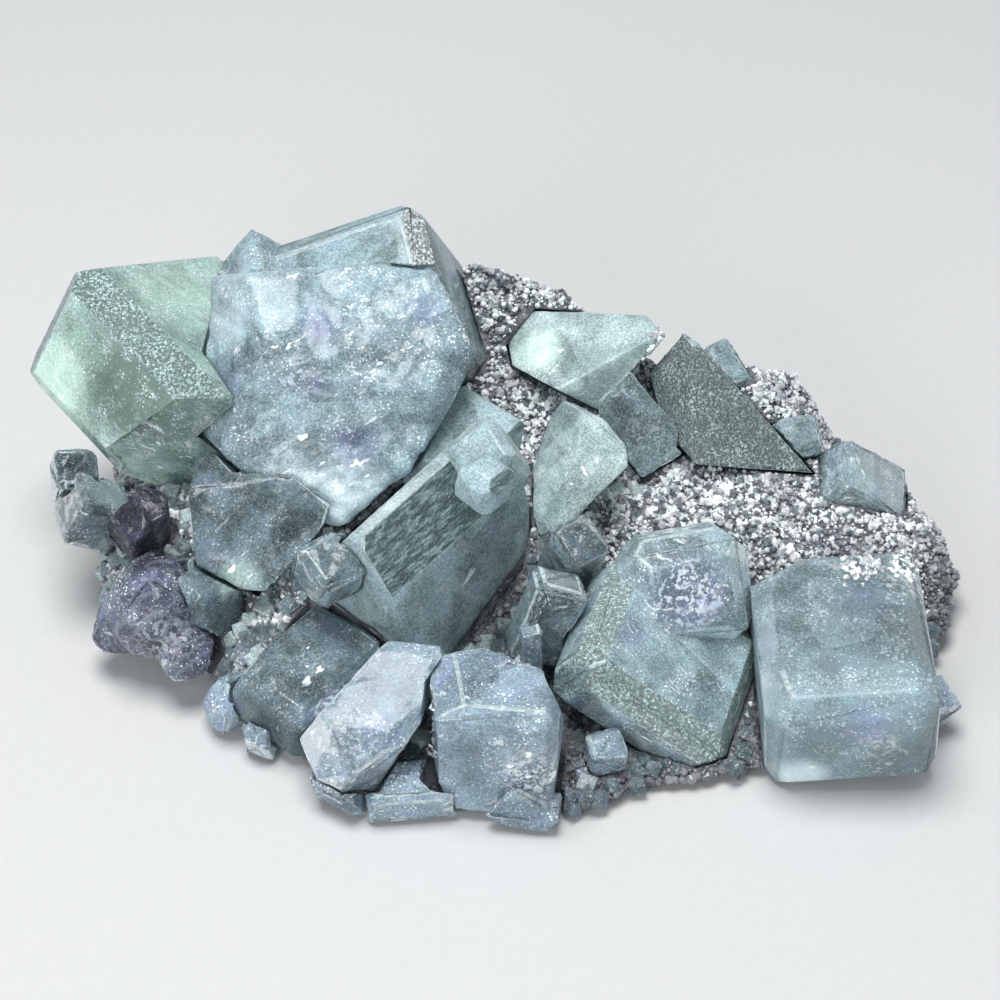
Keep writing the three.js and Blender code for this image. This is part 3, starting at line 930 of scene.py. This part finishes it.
def striatedCrystal():
    work = solidCopy("striated_dark_crystal")
    turn = turnMatrix(striated["turn"])
    bandWay = (turn @ Vector((0, -1, 1))).normalized()
    across = (turn @ Vector((0, 1, 1))).normalized()
    for face in work.faces:
        face.material_index = 1 if face.normal.dot(bandWay) > 0.995 else 0
    softenEdges(work, striated["edge"], wornAndPaintedRimSlot=2, wornAndPaintedRimShare=0.35)
    band = [f for f in work.faces if f.material_index == 1 and f.calc_area() > striated["bandArea"] * mm * mm]
    fine = refine(work, band, striated["grain"])
    verts = {vert for face in fine for vert in face.verts if all(f.material_index == 1 for f in vert.link_faces)}
    middle = sum((face.calc_center_median() for face in fine), Vector()) / len(fine)

    def depthAt(point):
        down = -(point - middle).dot(across) / mm
        share = max(0.0, min(1.0, down / striated["fade"] + 0.5))
        wander = sum(noise.noise(point / (size * mm)) * part for size, part in striated["waves"])
        saw = (down / striated["pitch"] + wander) % 1.0
        return share * striated["depth"] * saw + striated["fineDepth"] * ridge(point, 1.5, 2)

    sink(work, verts, depthAt)
    return show(
        "striatedDarkCrystal",
        work,
        ["slate", "darkFrost", "edge"],
        ["striated_dark_crystal"],
        24,
    )


centralCrystal()
striatedCrystal()

# width and rough are the edge's width and the depth of the uneven faces, and size is theirs, all in mm
perchedCube = {"middle": (0.024, -0.007, 0.018), "reach": 0.0095}  # in metres, its faces stay glossy
crystal(
    "leftGreenCrystal",
    "left_green_crystal",
    "mint",
    "frost",
    rough=0.06,
    broken=lambda face: face.normal.z < 0.25 and face.normal.y < 0.2,
)
crystal(
    "tiltedCrystal",
    "tilted_crystal_with_perched_cube",
    "perched",
    "frost",
    width=0.35,
    rough=0.15,
    glossy=lambda face: (face.calc_center_median() - Vector(perchedCube["middle"])).length < perchedCube["reach"],
)
crystal("rightCube", "right_cube", "cube", "cube", width=0.4, rough=0.08, size=5, cuts=5)
crystal(
    "frontClearCrystal",
    "front_clear_crystal",
    "dark",
    "dark",
    width=0.3,
    rough=0.15,
    size=3,
    cuts=6,
)
crystal("darkGabledCrystal", "dark_gabled_crystal", "slate", "olive")
crystal("mintBackCrystal", "mint_back_crystal", "pale", "pale", width=0.3, rough=0.15)
crystal("greyBackCrystal", "grey_back_crystal", "green", "green", width=0.5, rough=0.3)
roundedCrystal("frontBlock", "front_block", "bluish", 0.3, 0.25, 4.5, cuts=16)
roundedCrystal("frontBrokenCrystal", "front_broken_crystal", "bluish", 0.35, 0.3, 5, cuts=18)
roundedCrystal("paleMiddleCrystal", "pale_middle_crystal", "pale", 0.3, 0.25, 5, cuts=8)
roundedCrystal("shadedCrystal", "shaded_crystal_under_centre", "dark", 0.3, 0.35, 5, cuts=10)
roundedCrystal("purpleCrystal", "purple_crystal", "purple", 0.7, 0.35, 3, rounds=7, cuts=12)
smallCrystals(
    "leftEdgeCrystals",
    ["left_edge_crystal_upper", "left_edge_crystal_middle", "dark_corner_crystal"],
    "dark",
    "frost",
)
# painted shade: the crystal in the hollow is made near black to stand for its shade
roundedCrystal(
    "darkHollowCrystal",
    "left_edge_crystal_lower",
    "hollow",
    0.5,
    0.7,
    2.4,
    rounds=3,
    cuts=6,
)
smallCrystals(
    "middleCrystals",
    ["small_round_crystal", "middle_small_crystal_upper", "middle_small_crystal_lower"],
    "dark",
    "frost",
)
smallCrystals(
    "footCrystals",
    [
        "front_foot_crystal",
        "front_left_foot_crystal",
        "front_tip_crystal",
        "left_foot_crystal",
        "left_foot_crystal_small",
        "middle_bright_chip",
        "front_white_chip",
        "right_edge_crystal",
    ],
    "bluish",
    "frost",
)
smallCrystals(
    "backCrystals",
    ["right_ridge_crystal", "back_blue_crystal", "back_tip_crystal"],
    "green",
    "frost",
)
print("crystals made")


# what is sealed in the crystals: white veils on the cleavage planes, and violet growth zones

def insideTest(node):
    work = solidCopy(node)
    bmesh.ops.triangulate(work, faces=work.faces)
    tree = BVHTree.FromBMesh(work)
    low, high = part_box(node)
    work.free()

    def depth(point):  # how deep a point lies inside, in mm, negative outside
        spot, normal, _, away = tree.find_nearest(point)
        return (away if (point - spot).dot(normal) < 0 else -away) / mm

    return depth, low, high


veilLook = {
    "shallowest": 1.2,  # sizes in mm
    "deepest": 9,
    "cover": 0.35,
    "waves": ((5, 1.6), (1.6, 0.3)),  # width and height
    "ragged": 2.5,
    "thickness": 0.05,
    "fewestFaces": 12,
    "cells": 14,
}


def veilsIn(whole, node, turn, count, radius, seed):
    depth, low, high = insideTest(node)
    dice = random.Random(seed)
    body = turnMatrix(turn)
    made = 0
    for _ in range(count * 30):
        if made == count:
            break
        middle = Vector([dice.uniform(low[i], high[i]) for i in range(3)])
        if not veilLook["shallowest"] < depth(middle) < veilLook["deepest"]:
            continue
        corner = Vector([dice.choice((-1, 1)) for _ in range(3)]).normalized()
        facing = (body @ corner + Vector([dice.uniform(-0.25, 0.25) for _ in range(3)])).normalized()
        size = radius * dice.uniform(0.5, 1.0) * mm
        sheet = bmesh.new()
        bmesh.ops.create_grid(sheet, x_segments=veilLook["cells"], y_segments=veilLook["cells"], size=size)
        shift = Vector([dice.uniform(-9, 9) for _ in range(3)])
        for vert in sheet.verts:
            vert.co.z = sum(noise.noise(vert.co / (wide * mm) + shift) * high * mm for wide, high in veilLook["waves"])
        ragged = [
            vert
            for vert in sheet.verts
            if vert.co.xy.length > size * (0.62 + 0.5 * noise.noise(vert.co / (veilLook["ragged"] * mm) - shift))
        ]
        bmesh.ops.delete(sheet, geom=ragged, context="VERTS")
        stand = Matrix.Translation(middle) @ facing.to_track_quat("Z", "Y").to_matrix().to_4x4()
        bmesh.ops.transform(sheet, matrix=stand, verts=sheet.verts)
        shallow = [vert for vert in sheet.verts if depth(vert.co) < veilLook["cover"]]
        bmesh.ops.delete(sheet, geom=shallow, context="VERTS")
        loose = [vert for vert in sheet.verts if not vert.link_faces]
        bmesh.ops.delete(sheet, geom=loose, context="VERTS")
        if len(sheet.faces) < veilLook["fewestFaces"]:
            sheet.free()
            continue
        bmesh.ops.solidify(sheet, geom=sheet.faces[:], thickness=veilLook["thickness"] * mm)
        bmesh.ops.recalc_face_normals(sheet, faces=sheet.faces)
        gather(whole, sheet)
        made += 1


# the cube's turn in degrees, how many, their radius in mm, and the seed
veils = {
    "large_central_crystal": ((36, -14, 14), 46, 8.5, 3),
    "left_green_crystal": ((-7, 28, -41), 12, 7, 5),
    "tilted_crystal_with_perched_cube": ((22, 29, -22), 16, 5, 7),
    "right_cube": ((9, -5, 1), 18, 6, 9),
    "front_block": ((-5, 1, -7), 16, 5, 11),
    "front_broken_crystal": ((30, 20, 10), 16, 5, 13),
    "front_clear_crystal": ((7, 9, 53), 6, 3.5, 15),
    "striated_dark_crystal": ((13, 7, 51), 7, 4, 17),
    "pale_middle_crystal": ((20, 30, 10), 12, 4.5, 19),
    "mint_back_crystal": ((50, 10, 20), 6, 4, 21),
    "shaded_crystal_under_centre": ((20, 10, 60), 8, 4.5, 23),
    "purple_crystal": ((20, 25, 30), 10, 3, 25),
}


def makeVeils():
    whole = bmesh.new()
    for node, (turn, count, radius, seed) in veils.items():
        veilsIn(whole, node, turn, count, radius, seed)
    return show("crystalVeils", whole, ["veil"], (), 60)


# middle and reach in mm, and the seed
violetZones = {
    "perched cube core": ((24.0, -5.6, 16.8), (6.2, 5.4, 3.6), 31),
    "purple crystal core": ((-45.5, -2.5, 10), (4.6, 4.4, 4.2), 33),
    "right cube upper patch": ((47, -9, 14), (4.2, 3.4, 1.6), 35),
    "right cube lower patch": ((47, -23, 10), (3.6, 1.4, 2.8), 37),
    "central left zone": ((-37, 20, 24), (2.4, 4.5, 6), 39),
    "central lower zone": ((-19, 11, 18), (4, 3, 4.6), 41),
    "central upper zone": ((-24, 14, 36), (5.5, 3, 2.6), 43),
    "front broken zone": ((-20, -21, 9), (4, 3.4, 3.4), 45),
    "tilted crystal zone": ((13, -10, 12), (3, 3, 2), 47),
}


def makeZones():
    whole = bmesh.new()
    for middle, reach, seed in violetZones.values():
        blob = bmesh.new()
        bmesh.ops.create_icosphere(blob, subdivisions=4, radius=1)
        shift = Vector((seed, seed * 0.7, -seed))
        for vert in blob.verts:
            swell = 1 + 0.35 * noise.noise(vert.co * 1.3 + shift) + 0.12 * noise.noise(vert.co * 4 + shift)
            vert.co = Vector([vert.co[i] * swell * reach[i] * mm + middle[i] * mm for i in range(3)])
        gather(whole, blob)
    return show("violetGrowthZones", whole, ["violet"], (), 60)


makeVeils()
makeZones()
print("veils and zones made")


# the lump, its quartz points and the small crystals in its gaps

lump = {
    "grain": 1.6,  # sizes in mm
    "wave": 2.08,
    "waveSize": 7,
    "foot": 0.5,  # the flat patch it rests on stays as it is up to here
    "clear": 0.6,  # the contacts with the crystals stay as they are this far out
}
points = {
    "spacing": 0.5,  # sizes in mm
    "smallest": 0.22,
    "largest": 0.75,
    "tries": 2.2,
    "tilt": 0.6,
    "clear": 0.35,  # kept off the crystals by this much
    "shift": 0.1,  # out of the lump, and into a crystal's face
    "seed": 101,
    "perPiece": 7500,
}
chips = {
    "smallest": 0.9,  # sizes in mm
    "largest": 2.6,
    "reach": 2.2,  # how far from a crystal they grow
    "lowReach": 5,  # and low at the front
    "low": (9, 8),  # below this z and in front of this y
    "behind": 16,  # none behind this y
    "spacing": 1.5,
    "tries": 3,
    "tilt": 0.5,
    "seed": 202,
}

# quartz points grown on crystal faces: middle in mm, reach in mm, how many
sugar = {
    "right_cube": [((46.3, -5.7, 20.7), 2.6, 130), ((52, -6, 20), 2.2, 60)],
    "mint_back_crystal": [((23, 32, 27), 3.0, 90)],
}


def crystalTree():
    whole = bmesh.new()
    for name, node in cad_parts.items():
        if name != "drusy_matrix":
            whole.from_mesh(node.data)
    tree = BVHTree.FromBMesh(whole)
    whole.free()
    return tree


def makeLump(tree):
    work = solidCopy("drusy_matrix")
    bare = [
        face
        for face in work.faces
        if face.calc_center_median().z > 0.6 * mm and tree.find_nearest(face.calc_center_median())[3] > 0.4 * mm
    ]
    refine(work, bare, lump["grain"])
    verts = [
        vert
        for vert in work.verts
        if vert.co.z > lump["foot"] * mm and tree.find_nearest(vert.co)[3] > lump["clear"] * mm
    ]
    sink(work, verts, lambda point: lump["wave"] * (1 - ridge(point, lump["waveSize"]) ** 0.5))
    outer = work.copy()
    show("drusyLump", work, ["rock"], ["drusy_matrix"], 50)
    bmesh.ops.triangulate(outer, faces=outer.faces)
    return outer


def quartzPoint():  # a six-sided point, one unit wide and tall
    work = bmesh.new()
    bmesh.ops.create_cone(work, cap_ends=True, segments=6, radius1=0.85, radius2=1.0, depth=1.0)
    top = max(work.faces, key=lambda face: face.calc_center_median().z)
    bmesh.ops.poke(work, faces=[top], offset=0.85)
    return template(work)


def smallCube():  # one unit cube with cut edges
    work = bmesh.new()
    bmesh.ops.create_cube(work, size=1)
    bmesh.ops.bevel(
        work,
        geom=work.edges[:],
        offset=0.07,
        offset_type="OFFSET",
        segments=1,
        profile=0.5,
        affect="EDGES",
        material=-1,
    )
    return template(work)


def template(work):
    work.verts.index_update()
    verts = np.array([vert.co[:] for vert in work.verts])
    faces = [[vert.index for vert in face.verts] for face in work.faces]
    work.free()
    return verts, faces


class Crowd:  # spots no closer to each other than the spacing
    def __init__(self, spacing):
        self.spacing = spacing * mm
        self.taken = {}

    def take(self, spot):
        key = tuple(int(math.floor(x / self.spacing)) for x in spot)
        steps = (-1, 0, 1)
        near = [
            other
            for i in steps
            for j in steps
            for k in steps
            for other in self.taken.get((key[0] + i, key[1] + j, key[2] + k), ())
        ]
        if any((other - spot).length < self.spacing for other in near):
            return False
        self.taken.setdefault(key, []).append(spot)
        return True


def spotsOn(outer, dice, perCell, cell):  # random spots on a triangulated surface
    for face in outer.faces:
        if face.normal.z < -0.6 or face.calc_center_median().z < 0.7 * mm:
            continue
        a, b, c = [vert.co for vert in face.verts]
        tries = face.calc_area() / (cell * mm) ** 2 * perCell
        for _ in range(int(tries) + (dice.random() < tries % 1)):
            u, v = dice.random(), dice.random()
            if u + v > 1:
                u, v = 1 - u, 1 - v
            yield a + (b - a) * u + (c - a) * v, face.normal.copy()


def leaning(normal, dice, tilt):
    return (normal + Vector([dice.gauss(0, tilt) for _ in range(3)])).normalized()


def pointPlaces(outer, tree):
    dice = random.Random(points["seed"])
    crowd = Crowd(points["spacing"])
    places = []
    for spot, normal in spotsOn(outer, dice, points["tries"], points["spacing"]):
        size = points["smallest"] + (points["largest"] - points["smallest"]) * dice.random() ** 2
        if tree.find_nearest(spot)[3] < (points["clear"] + size * 0.6) * mm or not crowd.take(spot):
            continue
        way = leaning(normal, dice, points["tilt"])
        if spot.z > (0.6 - min(0, way.z) * 1.2) * size * mm:  # clear of the floor
            places.append((spot + normal * points["shift"] * mm, way, size * mm, dice.uniform(0, 6.28)))
    for node, patches in sugar.items():
        skin = solidCopy(node)
        bmesh.ops.triangulate(skin, faces=skin.faces)
        surface = BVHTree.FromBMesh(skin)
        skin.free()
        for middle, reach, count in patches:
            for _ in range(count):
                guess = Vector(middle) * mm + Vector([dice.gauss(0, reach * 0.45) * mm for _ in range(3)])
                spot, normal = surface.find_nearest(guess)[:2]
                way = leaning(normal, dice, points["tilt"])
                foot = spot - normal * points["shift"] * mm
                places.append((foot, way, dice.uniform(0.25, 0.5) * mm, dice.uniform(0, 6.28)))
    return places


def chipPlaces(outer, tree):
    dice = random.Random(chips["seed"])
    crowd = Crowd(chips["spacing"])
    places = []
    top, back = chips["low"]
    for spot, normal in spotsOn(outer, dice, chips["tries"], chips["spacing"]):
        gap = tree.find_nearest(spot)[3] / mm
        size = min(chips["largest"], gap * 1.5) * dice.uniform(0.75, 1)
        low = spot.z < top * mm and spot.y < back * mm
        reach = chips["lowReach"] if low else chips["reach"]
        if size < chips["smallest"] or gap > reach or not crowd.take(spot):
            continue
        if spot.z < size * mm * 0.8 or spot.y > chips["behind"] * mm or (spot.y > 0 and spot.x > 20 * mm):
            continue
        places.append((spot, leaning(normal, dice, chips["tilt"]), size * mm, dice.uniform(0, 6.28)))
    return places


def strew(name, pattern, places, look):  # one mesh of many copies of a small shape
    verts, faces = pattern
    allVerts, allFaces = [], []
    for spot, way, size, spin in places:
        turn = way.to_track_quat("Z", "Y").to_matrix() @ Matrix.Rotation(spin, 3, "Z")
        base = len(allVerts) * len(verts)
        allVerts.append(verts @ (np.array(turn).T * size) + np.array(spot))
        allFaces.extend([[base + i for i in face] for face in faces])
    shape = bpy.data.meshes.new(name)
    shape.from_pydata(np.concatenate(allVerts).tolist(), [], allFaces)
    shape.materials.append(materials[look])
    piece = bpy.data.objects.new(name, shape)
    bpy.context.scene.collection.objects.link(piece)
    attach(piece, "root")


tree = crystalTree()
outer = makeLump(tree)
places = sorted(pointPlaces(outer, tree), key=lambda place: place[0].x)
for start in range(0, len(places), points["perPiece"]):
    name = "quartzPoints%d" % (start // points["perPiece"] + 1)
    strew(name, quartzPoint(), places[start : start + points["perPiece"]], "points")
pieces = chipPlaces(outer, tree)
outer.free()
foot = [place for place in pieces if place[0].x > 4 * mm and place[0].z < 8 * mm]  # shaded, so all dark
others = [place for place in pieces if place not in foot]
strew("gapCrystalsPale", smallCube(), others[::2], "pale")
strew("gapCrystalsDark", smallCube(), others[1::2] + foot, "dark")
print("druse made:", len(places), "points and", len(pieces), "small crystals")


# floor, lights and camera

stage = {
    "target": (0, 2, 25),  # sizes in mm
    "elevation": 40,
    "distance": 307,
    "lens": 85,
    "floorSize": 1500,
    "floorDrop": 0.05,
    "world": 0.36,
    "sky": rgb(0.88, 0.95, 1.0),
}
lights = {  # place and size in metres, and power
    "overhead": {"place": (-0.06, 0.0, 0.62), "size": 0.36, "power": 3.6},
    "frontFill": {"place": (-0.3, -0.6, 0.32), "size": 0.3, "power": 1.9},
}
bounces = {
    "max_bounces": 6,
    "transmission_bounces": 4,
    "transparent_max_bounces": 6,
    "diffuse_bounces": 2,
    "glossy_bounces": 2,
}


def makeStage():
    work = bmesh.new()
    bmesh.ops.create_grid(work, x_segments=1, y_segments=1, size=stage["floorSize"] * mm)
    shape = bpy.data.meshes.new("floor")
    work.to_mesh(shape)
    work.free()
    shape.materials.append(materials["floor"])
    floor = bpy.data.objects.new("floor", shape)
    floor.location.z = -stage["floorDrop"] * mm
    bpy.context.scene.collection.objects.link(floor)


def areaLight(name, place, size, power, target=(0, 0, 0.02)):
    light = bpy.data.lights.new(name, "AREA")
    light.shape = "DISK"
    light.size = size
    light.energy = power
    lamp = bpy.data.objects.new(name, light)
    lamp.location = place
    lamp.rotation_euler = (Vector(place) - Vector(target)).to_track_quat("Z", "Y").to_euler()
    bpy.context.scene.collection.objects.link(lamp)


def makeCamera():
    climb = math.radians(stage["elevation"])
    back = Vector((0, -math.cos(climb), math.sin(climb)))
    camera = bpy.data.cameras.new("camera")
    camera.lens = stage["lens"]
    camera.clip_start = 0.01
    eye = bpy.data.objects.new("camera", camera)
    eye.location = (Vector(stage["target"]) + back * stage["distance"]) * mm
    eye.rotation_euler = back.to_track_quat("Z", "Y").to_euler()
    bpy.context.scene.collection.objects.link(eye)
    bpy.context.scene.camera = eye


def makeWorld():
    world = bpy.data.worlds.new("studio")
    world.use_nodes = True
    sky = world.node_tree.nodes["Background"]
    sky.inputs["Color"].default_value = stage["sky"]
    sky.inputs["Strength"].default_value = stage["world"]
    bpy.context.scene.world = world


makeStage()
makeWorld()
makeCamera()
for name, light in lights.items():
    areaLight(name, **light)
for name, count in bounces.items():
    setattr(bpy.context.scene.cycles, name, count)
bpy.context.scene.view_settings.view_transform = "Standard"
bpy.context.scene.view_settings.look = "None"
print("stage made")
